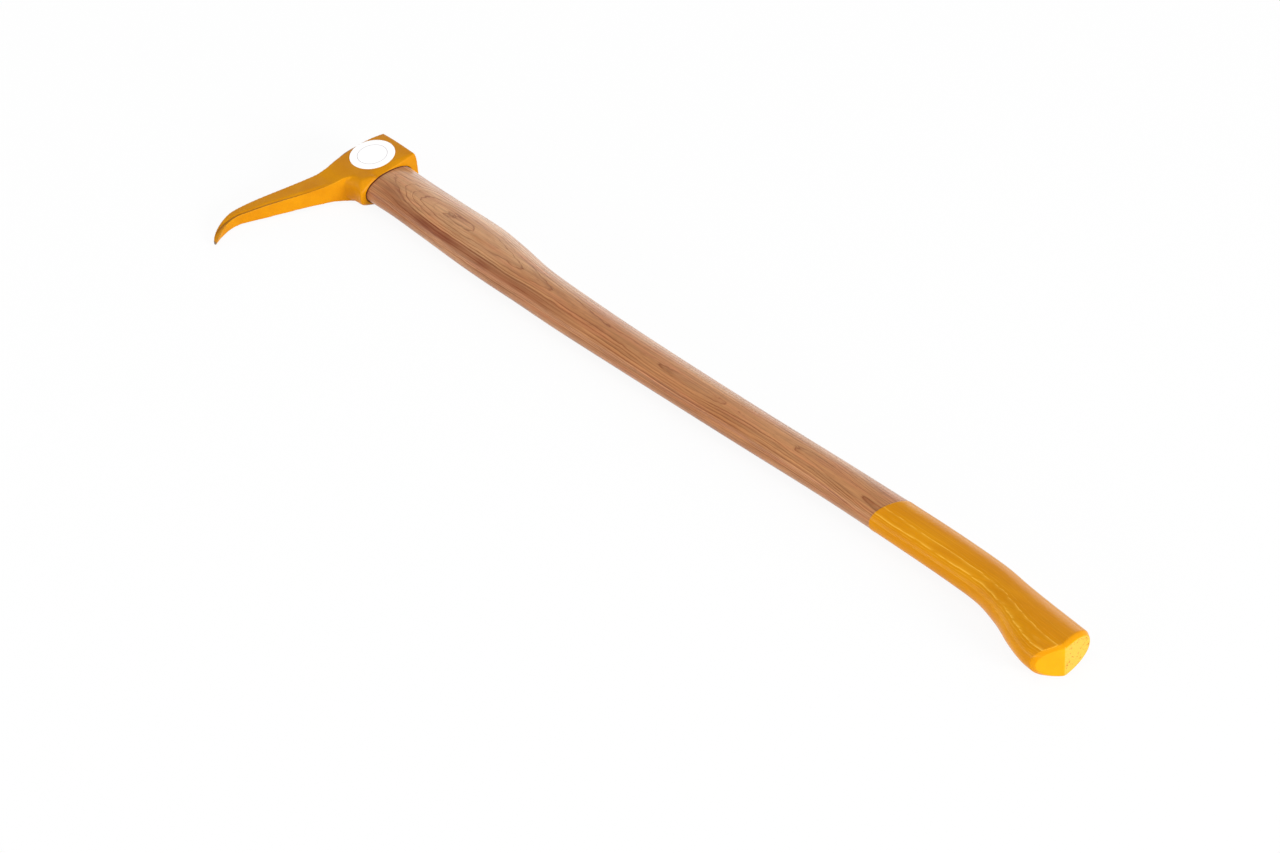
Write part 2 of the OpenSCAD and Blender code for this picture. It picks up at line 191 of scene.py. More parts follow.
# the cheeks of the head: half the distance between them, how they taper, and where the label is
CHEEK_HALF = 16.1
CHEEK_TAPER = math.radians(4.5)
LABEL_Y = 5.0
CHEEK_THERE = CHEEK_HALF + LABEL_Y * math.tan(CHEEK_TAPER)
# the knob is cut to two facets, which meet in a ridge
KNOB_FROM = 790.0
KNOB_GATHERS = 1.6
RIDGE_Y = -36.0
RIDGE_SHARE = 10 / 36
RIDGE_REACH = 0.9
RIDGE_ROUNDING = 2.4
END_SLOPE = math.radians(4.5)
TOE_SLOPE = math.radians(36)
# the facets have a bevel round them, and its rim is rounded
BEVEL_LENGTH = 4.0
BEVEL_DEPTH = 2.2
BEVEL_CURVE = 1.3
RIM_INSET = BEVEL_DEPTH + 0.5
RIM_LENGTH = BEVEL_LENGTH * 0.25
# the coat's edge leans over, and the sections beside it lean less and less
DIP_LINE = BUTT - 207.5
DIP_SLANT = math.radians(18)
DIP_FADE = 90.0

# distance down the handle, middle, half width, half thickness
CARVED = [
    (28, 0, 26, 13.2),
    (60, -0.45, 25.3, 13.2),
    (110, -1.9, 26.1, 13.7),
    (160, -3.36, 27.2, 14),
    (195, -5.71, 25.7, 13.9),
    (235, -8.79, 22.6, 13.7),
    (290, -10.64, 21.5, 13.3),
    (375, -11.2, 20, 13),
    (500, -10.25, 18.9, 13),
    (610, -8.46, 18.5, 13.1),
    (700, -8.62, 19.1, 13.2),
    (750, -9.8, 19, 13.7),
    (780, -11.87, 19.1, 14.3),
    (805, -17.33, 20.75, 15.1),
    (830, -23.71, 24.3, 15.9),
    (855, -28.12, 26.3, 16.2),
    (880, -30.4, 26, 16.2),
]
# the tongue in the eye
TONGUE = [
    (-27.8, 0, 26.12, 14.22),
    (-HOUSE_ABOVE, 0, 25.92, 14.02),
    (EYE_WAIST, 0, 25.12, 12.72),
    (HOUSE_BELOW, 0, 25.92, 13.12),
]

# the stretch of stick that the shades of the wood are given over, and the one for its layers
SHADES_SPAN = 900.0
LAYERS_FROM, LAYERS_SPAN = -40.0, 960.0
# how far the layers rise, the height that their depth is counted from, and the y they tilt about
RISE_FROM, RISE_SPAN = -2.0, 16.0
CREST = 14.0
TILT_ABOUT = -10.0
# how deep the first ring lies, how far apart the rings are, and how many are told apart
FIRST_RING = 0.19
LAYER_THICK = 0.7
RINGS_SHOWN = 16.0
# how the layers run out on the crest: distance down, depth there, tilt
LAYERS = [
    (24, 3.2, 0.0),
    (38, 2.95, 0.0),
    (56, 2.29, 0.0),
    (68, 1.62, 0.02),
    (78, 0.92, 0.01),
    (106, 0.2, 0.01),
    (131, 0.0, 0.01),
    (158, 0.18, 0.01),
    (190, 0.5, 0.02),
    (224, 0.89, 0.03),
    (256, 1.55, 0.03),
    (300, 1.85, 0.06),
    (345, 1.95, 0.09),
    (390, 1.75, 0.12),
    (415, 1.6, 0.13),
    (450, 1.42, 0.13),
    (488, 1.6, 0.08),
    (522, 1.75, 0.06),
    (558, 1.59, 0.07),
    (600, 1.2, 0.12),
    (640, 0.93, 0.3),
    (662, 0.78, 0.4),
    (690, 0.66, 0.42),
    (750, 0.66, 0.42),
    (775, 0.7, 0.42),
    (790, 0.72, 0.4),
    (805, 0.66, 0.36),
    (818, 0.68, 0.34),
    (830, 0.7, 0.33),
    (842, 0.7, 0.32),
    (856, 0.7, 0.32),
    (876, 0.7, 0.32),
]

# the cuts for the wedges: how deep, how wide, and how thick at the top and at the bottom
KERF = {"length": 32.0, "width": 58.0, "head": 5.0, "point": 1.4}
CROSS_SLOT = {"length": 20.0, "width": 19.0, "head": 3.0, "point": 0.6}
CROSS_AWAY = 11.0
CUT_OVER = 3.0

# from the axis of the eye, in millimetres, to the frame, in metres
LAID = (
    Matrix.Scale(0.001, 4)
    @ Matrix.Rotation(CHEEK_TAPER, 4, "X")
    @ Matrix.Translation((0, -LABEL_Y, CHEEK_THERE))
)


def along(rows, x, column):
    """A smooth curve through one column of the rows."""

    def slope(i):
        a, b = max(i - 1, 0), min(i + 1, len(rows) - 1)
        return (rows[b][column] - rows[a][column]) / (rows[b][0] - rows[a][0])

    i = max([0] + [k for k in range(len(rows) - 1) if rows[k][0] <= x])
    h = rows[i + 1][0] - rows[i][0]
    u = (x - rows[i][0]) / h
    return (
        rows[i][column] * (2 * u**3 - 3 * u**2 + 1)
        + slope(i) * h * (u**3 - 2 * u**2 + u)
        + rows[i + 1][column] * (3 * u**2 - 2 * u**3)
        + slope(i + 1) * h * (u**3 - u**2)
    )


def evenly(start, end, steps):
    """Places from a start to an end, in even steps."""
    return [start + (end - start) * i / steps for i in range(steps + 1)]


def inset_at(x):
    """How far the skin has drawn in at the bevel round the butt."""
    return BEVEL_DEPTH * max(0, (x - BUTT + BEVEL_LENGTH) / BEVEL_LENGTH) ** BEVEL_CURVE


def ring(x, inset=0.0, grow=0.0, shrink=1.0, relief=0.0):
    """One section of the stick, as the values that the skin tree reads off its guide."""
    rows = TONGUE if x <= HOUSE_BELOW else CARVED
    middle = along(rows, x, 1)
    half_width = along(rows, x, 2) - inset + grow
    half_thick = along(rows, x, 3) - inset + grow
    mix = max(0, (x - KNOB_FROM) / (BUTT - KNOB_FROM)) ** KNOB_GATHERS
    to_ridge = max(-RIDGE_REACH, min(RIDGE_REACH, (RIDGE_Y - middle) / half_width))
    root = math.copysign(abs(to_ridge) ** (SQUARENESS / 2), to_ridge)
    turn = math.acos(root) - 2 * math.pi * RIDGE_SHARE
    centre = RIDGE_Y if x > KNOB_FROM else middle
    return {
        "along": x + mix * grow,
        "middle": centre + (middle - centre) * shrink,
        "half_width": half_width * shrink,
        "half_thick": half_thick * shrink,
        "butt_mix": mix,
        "warp": mix * turn,
        "lean": math.tan(DIP_SLANT) * max(0, 1 - abs(x - DIP_LINE) / DIP_FADE),
        "relief": relief,
    }


def butt_rings(grow, relief=0.0):
    """The last sections: the bevel, a rounded rim and the two facets, down to a point."""
    on_bevel = [BUTT - BEVEL_LENGTH * share for share in (0.95, 0.85, 0.72, 0.6, 0.5, 0.4, 0.32)]
    made = [ring(x, inset_at(x), grow, relief=relief) for x in on_bevel]
    rim_from = BUTT - RIM_LENGTH
    for t in evenly(0, 1, 6):
        x = rim_from * (1 - t) ** 2 + BUTT * (1 - (1 - t) ** 2)
        inset = inset_at(rim_from) * (1 - t) ** 2 + BEVEL_DEPTH * 2 * t * (1 - t) + RIM_INSET * t**2
        made.append(ring(x, inset, grow, relief=relief * (1 - t)))
    for shrink in (0.95, 0.85, 0.7, 0.5, 0.3, 0.12, 0.01):
        made.append(ring(BUTT, RIM_INSET, grow, shrink))
    return made


def guide(name, rings):
    """A straight line of points, one for each section, that carries the sections' values."""
    mesh = bpy.data.meshes.new(name)
    points = [(0.001 * i, 0, 0) for i in range(len(rings))]
    mesh.from_pydata(points, [(i, i + 1) for i in range(len(rings) - 1)], [])
    for key in rings[0]:
        values = mesh.attributes.new(key, "FLOAT", "POINT")
        values.data.foreach_set("value", [r[key] for r in rings])
    return in_scene(name, mesh)


def product(tree, first, *others):
    """Several values multiplied together in a node tree."""
    for other in others:
        first = maths(tree, "MULTIPLY", first, other)
    return first


def parts(tree, vector):
    """The x, y and z of a vector in a node tree."""
    return node(tree, "ShaderNodeSeparateXYZ", {0: vector}).outputs


def mottle(tree, spot, stretch, detail=2.0, rough=0.5, shift=0.0):
    """Soft noise from 0 to 1, drawn out by different amounts along the three axes."""
    spread = node(
        tree, "ShaderNodeVectorMath", {0: spot, 1: stretch, 2: (shift,) * 3}, operation="MULTIPLY_ADD"
    ).outputs[0]
    sockets = {"Vector": spread, "Scale": 1.0, "Detail": detail, "Roughness": rough}
    return node(tree, "ShaderNodeTexNoise", sockets).outputs[0]


def ramp(tree, factor, *stops, curve="LINEAR"):
    """A blend through colours or greys at given places from 0 to 1."""
    made = node(tree, "ShaderNodeValToRGB", {0: factor})
    line = made.color_ramp
    line.interpolation = curve
    line.elements.remove(line.elements[1])
    for index, (where, shade) in enumerate(stops):
        stop = line.elements.new(where) if index else line.elements[0]
        stop.position = where
        stop.color = shade if isinstance(shade, tuple) else (shade,) * 3 + (1,)
    return made.outputs[0]


def layer_rise(x, depth, tilt):
    """How far the layers have risen at a place down the stick, to lie at a depth under its crest."""
    inside = min(max(x, CARVED[0][0]), CARVED[-1][0])
    middle, half_width, half_thick = (along(CARVED, inside, column) for column in (1, 2, 3))
    turn = np.linspace(0.01, math.pi - 0.01, 240)
    y = middle + half_width * np.sign(np.cos(turn)) * np.abs(np.cos(turn)) ** (2 / SQUARENESS)
    z = half_thick * np.sin(turn) ** (2 / SQUARENESS)
    return depth - float(np.min(CREST - z + tilt * (y - TILT_ABOUT)))


def growth(tree, spot, up):
    """The growth rings of the hickory at a spot in millimetres, on a skin that faces up by so much.

    The rings are almost flat layers, so they run out in tongues and loops on the broad faces and
    crowd into fine lines on the edges. Returns how dark the ring's line is, and the count of rings
    under the crest.
    """
    x, y, z = parts(tree, spot)
    down = maths(tree, "MULTIPLY_ADD", x, 1 / LAYERS_SPAN, -LAYERS_FROM / LAYERS_SPAN)
    places = [(row[0] - LAYERS_FROM) / LAYERS_SPAN for row in LAYERS]
    heights = [(layer_rise(*row) - RISE_FROM) / RISE_SPAN for row in LAYERS]
    rises = ramp(tree, down, *zip(places, heights), curve="CARDINAL")
    tilts = ramp(tree, down, *zip(places, [row[2] for row in LAYERS]), curve="CARDINAL")
    depth = maths(tree, "SUBTRACT", maths(tree, "MULTIPLY_ADD", rises, RISE_SPAN, CREST + RISE_FROM), z)
    depth = maths(tree, "MULTIPLY_ADD", tilts, maths(tree, "SUBTRACT", y, TILT_ABOUT), depth)
    wander = 0.0
    for stretch, detail, shift, much in (
        ((0.011, 0.03, 0.02), 1.0, 4.7, 0.5),
        ((0.035, 0.12, 0.07), 2.0, 9.1, 0.5),
        ((0.1, 0.3, 0.2), 2.0, 14.2, 0.3),
    ):
        wave = mottle(tree, spot, stretch, detail, 0.5, shift)
        wander = maths(tree, "ADD", wander, maths(tree, "MULTIPLY_ADD", wave, much, -much / 2))
    # the grain runs straighter in the grip
    depth = maths(tree, "MULTIPLY_ADD", wander, ramp(tree, down, (0.69, 1.0), (0.74, 0.25)), depth)
    # from 3 mm under the crest the layers are thicker, and uneven
    deep = maths(tree, "MAXIMUM", maths(tree, "SUBTRACT", depth, 3.0), 0.0)
    depth = maths(tree, "MULTIPLY_ADD", deep, -0.45, depth)
    uneven = maths(tree, "MULTIPLY", maths(tree, "SINE", maths(tree, "MULTIPLY", deep, 1.3)), 0.25)
    count = maths(tree, "DIVIDE", maths(tree, "SUBTRACT", depth, FIRST_RING), LAYER_THICK)
    count = maths(tree, "ADD", count, uneven)
    # a line is as wide on the crest, where its layer runs out slowly, as on the edges
    phase = maths(tree, "FRACT", count)
    steep = maths(tree, "SQRT", maths(tree, "SUBTRACT", 1.001, maths(tree, "MULTIPLY", up, up)))
    sharp = maths(tree, "ADD", maths(tree, "DIVIDE", 1.15, maths(tree, "MAXIMUM", steep, 0.08)), 1.8)
    rise = maths(tree, "POWER", phase, sharp)
    fall = maths(tree, "POWER", maths(tree, "SUBTRACT", 1.0, phase), maths(tree, "MULTIPLY", sharp, 3.0))
    return maths(tree, "MAXIMUM", rise, fall), count


def standing_rings(tree, count):
    """How far each ring stands up through a coat: the first one under the crest does most."""
    stops = [(rings / RINGS_SHOWN, far) for rings, far in ((0, 0.8), (1, 0.3), (2, 0.1), (4, 0.3), (5, 0.0))]
    return ramp(tree, maths(tree, "DIVIDE", count, RINGS_SHOWN), *stops, curve="CONSTANT")


def stick_skin_tree():
    """Geometry nodes that lay an oval skin over a guide and cut the butt to its two facets."""
    tree = bpy.data.node_groups.new("stick_skin", "GeometryNodeTree")
    face = tree.interface
    face.new_socket("Guide", in_out="INPUT", socket_type="NodeSocketGeometry")
    for name, value in (
        ("Squareness", SQUARENESS),
        ("Butt", BUTT),
        ("Ridge Place", RIDGE_Y),
        ("End Slope", math.tan(END_SLOPE)),
        ("Toe Slope", math.tan(TOE_SLOPE)),
        ("Ridge Rounding", RIDGE_ROUNDING),
        ("Ridge Share", RIDGE_SHARE),
        ("Grain Height", 0.0),
    ):
        made = face.new_socket(name, in_out="INPUT", socket_type="NodeSocketFloat")
        made.default_value = value
    face.new_socket("Points Round", in_out="INPUT", socket_type="NodeSocketInt").default_value = STICK_POINTS
    face.new_socket("Material", in_out="INPUT", socket_type="NodeSocketMaterial")
    face.new_socket("Skin", in_out="OUTPUT", socket_type="NodeSocketGeometry")
    given = node(tree, "NodeGroupInput").outputs
    around = given["Points Round"]

    def carried(name):
        """A value that the guide carries from section to section."""
        return node(tree, "GeometryNodeInputNamedAttribute", {"Name": name}).outputs[0]

    circle = node(tree, "GeometryNodeCurvePrimitiveCircle", {"Resolution": around, "Radius": 1.0})
    keep = node(tree, "GeometryNodeCaptureAttribute")
    keep.capture_items.new("FLOAT", "Place")
    index = node(tree, "GeometryNodeSplineParameter").outputs["Index"]
    fill(tree, keep, {"Geometry": circle.outputs["Curve"], "Place": maths(tree, "DIVIDE", index, around)})
    line = node(tree, "GeometryNodeMeshToCurve", {"Mesh": given["Guide"]}).outputs[0]
    sweep = {"Curve": line, "Profile Curve": keep.outputs["Geometry"], "Fill Caps": True}
    skin = node(tree, "GeometryNodeCurveToMesh", sweep).outputs[0]
    place = keep.outputs["Place"]
    share = given["Ridge Share"]

    # how far a point leans over so that one of them runs along the ridge of the butt
    fold = maths(tree, "MINIMUM", place, maths(tree, "SUBTRACT", 1.0, place))
    rise = maths(tree, "DIVIDE", fold, share)
    fall = maths(tree, "DIVIDE", maths(tree, "SUBTRACT", 0.5, fold), maths(tree, "SUBTRACT", 0.5, share))
    side = maths(tree, "SIGN", maths(tree, "SUBTRACT", 0.5, place))
    lean = maths(tree, "MULTIPLY", maths(tree, "MINIMUM", rise, fall), side)
    angle = maths(tree, "MULTIPLY_ADD", place, 2 * math.pi, maths(tree, "MULTIPLY", lean, carried("warp")))

    # the squared oval
    power = maths(tree, "DIVIDE", 2.0, given["Squareness"])

    def squared(operation, half):
        """How far out the oval reaches at the angle, along its width or its thickness."""
        wave = maths(tree, operation, angle)
        bulge = maths(tree, "POWER", maths(tree, "ABSOLUTE", wave), power)
        return product(tree, bulge, maths(tree, "SIGN", wave), half)

    y = maths(tree, "ADD", squared("COSINE", carried("half_width")), carried("middle"))
    z = squared("SINE", carried("half_thick"))

    # the two facets of the butt
    off = maths(tree, "SUBTRACT", y, given["Ridge Place"])
    end = maths(tree, "SUBTRACT", given["Butt"], maths(tree, "MULTIPLY", off, given["End Slope"]))
    toe = maths(tree, "ADD", given["Butt"], maths(tree, "MULTIPLY", off, given["Toe Slope"]))
    cut = maths(tree, "SMOOTH_MIN", end, toe, given["Ridge Rounding"])
    back = maths(tree, "MULTIPLY", maths(tree, "SUBTRACT", given["Butt"], cut), carried("butt_mix"))
    slant = maths(tree, "MULTIPLY", maths(tree, "SUBTRACT", y, carried("middle")), carried("lean"))
    x = maths(tree, "ADD", maths(tree, "SUBTRACT", carried("along"), back), slant)
    spot = node(tree, "ShaderNodeCombineXYZ", {0: x, 1: y, 2: z}).outputs[0]
    placed = node(tree, "GeometryNodeSetPosition", {"Geometry": skin, "Position": spot}).outputs[0]

    # the lines of the growth rings stand up through a coat as fine ridges
    here = node(tree, "GeometryNodeInputPosition").outputs[0]
    facing = node(tree, "GeometryNodeInputNormal").outputs[0]
    line_there, count = growth(tree, here, parts(tree, facing)[2])
    broken = mottle(tree, here, (0.05, 0.9, 0.9))
    ridge = product(tree, line_there, standing_rings(tree, count), broken)
    ridge = maths(tree, "SUBTRACT", ridge, 1.0)
    height = product(tree, ridge, given["Grain Height"], carried("relief"))
    lift = node(tree, "ShaderNodeVectorMath", {0: facing, "Scale": height}, operation="SCALE").outputs[0]
    raised = node(tree, "GeometryNodeSetPosition", {"Geometry": placed, "Offset": lift}).outputs[0]
    whole = node(tree, "GeometryNodeRealizeInstances", {"Geometry": raised}).outputs[0]
    done = node(tree, "GeometryNodeSetMaterial", {"Geometry": whole, "Material": given["Material"]})
    out = node(tree, "NodeGroupOutput")
    tree.links.new(done.outputs[0], out.inputs["Skin"])
    return tree


def plain_piece(name, made):
    """Turns an object's finished shape into a plain mesh of its own, and clears the object away."""
    bpy.context.view_layer.update()
    shape = made.evaluated_get(bpy.context.evaluated_depsgraph_get())
    mesh = bpy.data.meshes.new_from_object(shape)
    bpy.data.objects.remove(made)
    mesh.name = name
    return in_scene(name, mesh)


def smooth_to_edges(piece, degrees):
    """Shades a piece smooth, except over edges sharper than an angle, with its faces outward."""
    work = bmesh.new()
    work.from_mesh(piece.data)
    bmesh.ops.remove_doubles(work, verts=work.verts, dist=1e-6)
    bmesh.ops.recalc_face_normals(work, faces=work.faces)
    work.to_mesh(piece.data)
    work.free()
    piece.data.polygons.foreach_set("use_smooth", [True] * len(piece.data.polygons))
    piece.data.set_sharp_from_angle(angle=math.radians(degrees))


def skinned(name, rings, material, **inputs):
    """A stick skin over a row of sections, laid in the frame."""
    made = guide(name + "_guide", rings)
    skin = made.modifiers.new("skin", "NODES")
    skin.node_group = skin_tree
    sockets = {s.name: s.identifier for s in skin_tree.interface.items_tree if s.in_out == "INPUT"}
    skin[sockets["Material"]] = material
    for key, setting in inputs.items():
        skin[sockets[key.replace("_", " ").title()]] = setting
    piece = plain_piece(name, made)
    piece.data.transform(LAID)
    smooth_to_edges(piece, STICK_EDGES)
    return piece


def in_stick(tree):
    """The place on a piece, in millimetres from the axis of the eye."""
    turned = {
        "Vector": node(tree, "ShaderNodeTexCoord").outputs["Object"],
        "Location": (0, LABEL_Y, -CHEEK_THERE),
        "Rotation": (-CHEEK_TAPER, 0, 0),
        "Scale": (1000, 1000, 1000),
    }
    return node(tree, "ShaderNodeMapping", turned).outputs[0]


def facing_up(tree):
    """How far the skin faces up, square to the cheeks of the head, from -1 to 1."""
    facing = node(tree, "ShaderNodeNewGeometry").outputs["Normal"]
    upward = (0, -math.sin(CHEEK_TAPER), math.cos(CHEEK_TAPER))
    facing_it = node(tree, "ShaderNodeVectorMath", {0: facing, 1: upward}, operation="DOT_PRODUCT")
    return facing_it.outputs["Value"]


def lay_over(tree, how, factor, under, over):
    """One colour laid over another."""
    sockets = {0: factor, 6: under, 7: over}
    return node(tree, "ShaderNodeMix", sockets, data_type="RGBA", blend_type=how).outputs[2]


def colour(red, green, blue):
    """A colour given as a painter reads it off a screen, 0 to 255, in the linear scale of a shader."""
    shares = [c / 255 for c in (red, green, blue)]
    return tuple(c / 12.92 if c <= 0.04045 else ((c + 0.055) / 1.055) ** 2.4 for c in shares) + (1.0,)


def bump(tree, height, strength, distance):
    """A fine relief for a shader's normal, with its depth in metres."""
    sockets = {"Strength": strength, "Distance": distance, "Height": height}
    return node(tree, "ShaderNodeBump", sockets).outputs[0]


def heart_streak(tree, stick, down, front, count):
    """How far the heart has coloured the layers under the front shoulder of the belly.

    It begins at a ring of its own, so its edge follows the layers, and it fades down the stick.
    """
    inner = ramp(
        tree, maths(tree, "DIVIDE", count, RINGS_SHOWN),
        (0.247, 0.0), (0.252, 1.0), (0.268, 0.85), (0.28, 0.45), (0.31, 0.4), (0.335, 0.95),
        (0.36, 0.6), (0.4, 0.85), (0.43, 0.4), (0.5, 0.35), (0.8, 0.05),
    )
    strength = ramp(
        tree, down,
        (0.03, 0.0), (0.05, 0.5), (0.1, 0.7), (0.12, 1.0), (0.155, 1.0), (0.175, 0.75),
        (0.198, 0.8), (0.208, 1.0), (0.225, 0.75), (0.3, 0.55), (0.37, 0.0),
    )
    ragged = ramp(tree, mottle(tree, stick, (0.014, 0.5, 0.5), 3.0, 0.6, 17.0), (0.35, 0.65), (0.5, 1.0))
    return product(tree, inner, front, strength, ragged)


def hickory():
    """Clear varnished hickory: growth rings in tongues, fibres, pores and a dark heart streak."""
    material, tree, shader = new_material("hickory")
    stick = in_stick(tree)
    x, y = parts(tree, stick)[:2]
    down = maths(tree, "DIVIDE", x, SHADES_SPAN)
    broad = mottle(tree, stick, (0.008, 0.05, 0.09), 3.0, 0.55, 3.0)
    wood = ramp(
        tree, broad, (0.38, colour(212, 164, 118)), (0.5, colour(199, 149, 103)), (0.62, colour(182, 128, 83))
    )
    # the belly is pale, and the wood grows browner toward the grip
    brown = ramp(tree, down, (0.15, 0.0), (0.3, 0.25), (0.45, 0.55), (0.7, 0.75))
    wood = lay_over(tree, "MIX", brown, wood, colour(182, 125, 77))
    front = ramp(tree, maths(tree, "MULTIPLY", y, -0.05), (0.25, 0.0), (0.45, 1.0))
    far_down = ramp(tree, down, (0.1, 0.3), (0.3, 0.45), (0.55, 0.45), (0.65, 0.1))
    wood = lay_over(tree, "MIX", product(tree, front, far_down), wood, colour(160, 100, 54))
    tint = mottle(tree, stick, (0.02, 0.16, 0.2), 2.0, 0.5, 31.0)
    wood = lay_over(tree, "MIX", ramp(tree, tint, (0.48, 0.0), (0.68, 0.45)), wood, colour(190, 121, 82))
    # the growth rings, each with a darkness of its own
    line_there, count = growth(tree, stick, facing_up(tree))
    ring_number = {"W": maths(tree, "FLOOR", count)}
    own = node(tree, "ShaderNodeTexWhiteNoise", ring_number, noise_dimensions="1D").outputs[0]
    wood = lay_over(tree, "MULTIPLY", 1.0, wood, ramp(tree, own, (0.0, 0.94), (1.0, 1.0)))
    patchy = ramp(tree, mottle(tree, stick, (0.02, 0.12, 0.12), 2.0, 0.5, 5.0), (0.35, 0.45), (0.58, 1.0))
    lines = product(tree, line_there, maths(tree, "MULTIPLY_ADD", own, 0.45, 0.7), patchy)
    wood = lay_over(tree, "MIX", lines, wood, colour(116, 52, 12))
    # fainter lines of pores between the rings
    between = maths(tree, "PINGPONG", maths(tree, "MULTIPLY", count, 3.0), 1.0)
    between = maths(tree, "MULTIPLY", ramp(tree, between, (0.7, 0.0), (1.0, 0.3)), patchy)
    wood = lay_over(tree, "MIX", between, wood, colour(140, 83, 46))
    fibre = mottle(tree, stick, (0.03, 1.7, 1.7), 4.0, 0.65, 11.0)
    wood = lay_over(tree, "MULTIPLY", 1.0, wood, ramp(tree, fibre, (0.3, 0.68), (0.5, 1.0), (0.72, 1.13)))
    strands = mottle(tree, stick, (0.012, 0.45, 0.5), 2.0, 0.6, 37.0)
    wood = lay_over(tree, "MULTIPLY", 1.0, wood, ramp(tree, strands, (0.34, 0.84), (0.5, 1.0), (0.68, 1.07)))
    heart = heart_streak(tree, stick, down, front, count)
    wood = lay_over(tree, "MIX", heart, wood, colour(104, 34, 0))
    vessels = mottle(tree, stick, (0.14, 3.6, 3.6), 1.0, 0.5, 23.0)
    pores = maths(tree, "MULTIPLY", ramp(tree, vessels, (0.66, 0.0), (0.73, 0.55)), patchy)
    wood = lay_over(tree, "MIX", pores, wood, colour(112, 66, 38))
    # the sawn top soaks up oil, and the wood in the seam at the rim of the eye is darkened as grime and
    # painted shade
    sawn = ramp(tree, maths(tree, "MULTIPLY_ADD", x, 0.1, 2.6), (0.25, 0.65), (0.45, 0.0))
    wood = lay_over(tree, "MIX", sawn, wood, colour(120, 78, 48))
    seam = maths(tree, "MULTIPLY_ADD", x, 0.25, -6.75)
    seam_grime_and_shade = ramp(tree, seam, (0.0, 0.0), (0.03, 0.9), (0.24, 0.9), (0.3, 0.35), (0.45, 0.0))
    wood = lay_over(tree, "MIX", seam_grime_and_shade, wood, colour(98, 26, 0))
    gloss = ramp(tree, fibre, (0.3, 0.5), (0.7, 0.36))
    height = maths(tree, "SUBTRACT", maths(tree, "MULTIPLY", fibre, 0.6), maths(tree, "ADD", pores, lines))
    fill(tree, shader, {
        "Base Color": wood,
        "Roughness": maths(tree, "MAXIMUM", gloss, seam_grime_and_shade),
        "Specular IOR Level": 0.12,
        "Coat Weight": 0.8,
        "Coat Roughness": 0.25,
        "Coat IOR": 1.2,
        "Sheen Weight": 0.3,
        "Sheen Roughness": 0.3,
        "Normal": bump(tree, height, 0.15, 0.00012),
    })
    return material


def wedge_slot(name, middle, wide_in_y, length, width, head, point):
    """The shape that a wedge cuts into the top of the stick."""
    corners = []
    for x, thick in ((TOP - CUT_OVER, head + (head - point) * CUT_OVER / length), (TOP + length, point)):
        half_y, half_z = (width / 2, thick / 2) if wide_in_y else (thick / 2, width / 2)
        for side, face in ((-1, -1), (1, -1), (1, 1), (-1, 1)):
            corners.append(LAID @ Vector((x, middle + side * half_y, face * half_z)))
    mesh = bpy.data.meshes.new(name)
    faces = [(0, 1, 2, 3), (7, 6, 5, 4), (0, 4, 5, 1), (1, 5, 6, 2), (2, 6, 7, 3), (3, 7, 4, 0)]
    mesh.from_pydata(corners, [], faces)
    return in_scene(name, mesh)


skin_tree = stick_skin_tree()
bevel_from = BUTT - BEVEL_LENGTH
handle_rings = [ring(TOP, shrink=share) for share in (0.01, 0.2, 0.45, 0.7, 0.88, 0.97)]
handle_rings += [ring(TOP + TONGUE_STEP * i) for i in range(TONGUE_STEPS)]
handle_rings += [ring(x) for x in evenly(HOUSE_BELOW + 1.0, bevel_from, BARE_STEPS)]
handle_rings += butt_rings(0.0)
handle = skinned("handle_blank", handle_rings, hickory(), points_round=STICK_POINTS)
slots = [
    wedge_slot("kerf", 0.0, True, **KERF),
    wedge_slot("poll_slot", CROSS_AWAY, False, **CROSS_SLOT),
    wedge_slot("beak_slot", -CROSS_AWAY, False, **CROSS_SLOT),
]
for slot in slots:
    cut = handle.modifiers.new(slot.name, "BOOLEAN")
    cut.operation = "DIFFERENCE"
    cut.object = slot
handle = plain_piece("handle_stick", handle)
for slot in slots:
    bpy.data.objects.remove(slot)
smooth_to_edges(handle, STICK_EDGES)
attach(handle, "root")
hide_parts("handle")

# DIP COAT
# The grip is dipped in thick yellow lacquer. It covers the butt, rounds over the
# cut edges, and lets the raised grain of the hickory show as long fine lines.

COAT = 0.35
COAT_RELIEF = 0.16
COAT_POINTS = 360
COAT_STEPS = 150
# the sections of the inner skin lie closer together over the last of the knob
KNOB_CLOSE = 25.0


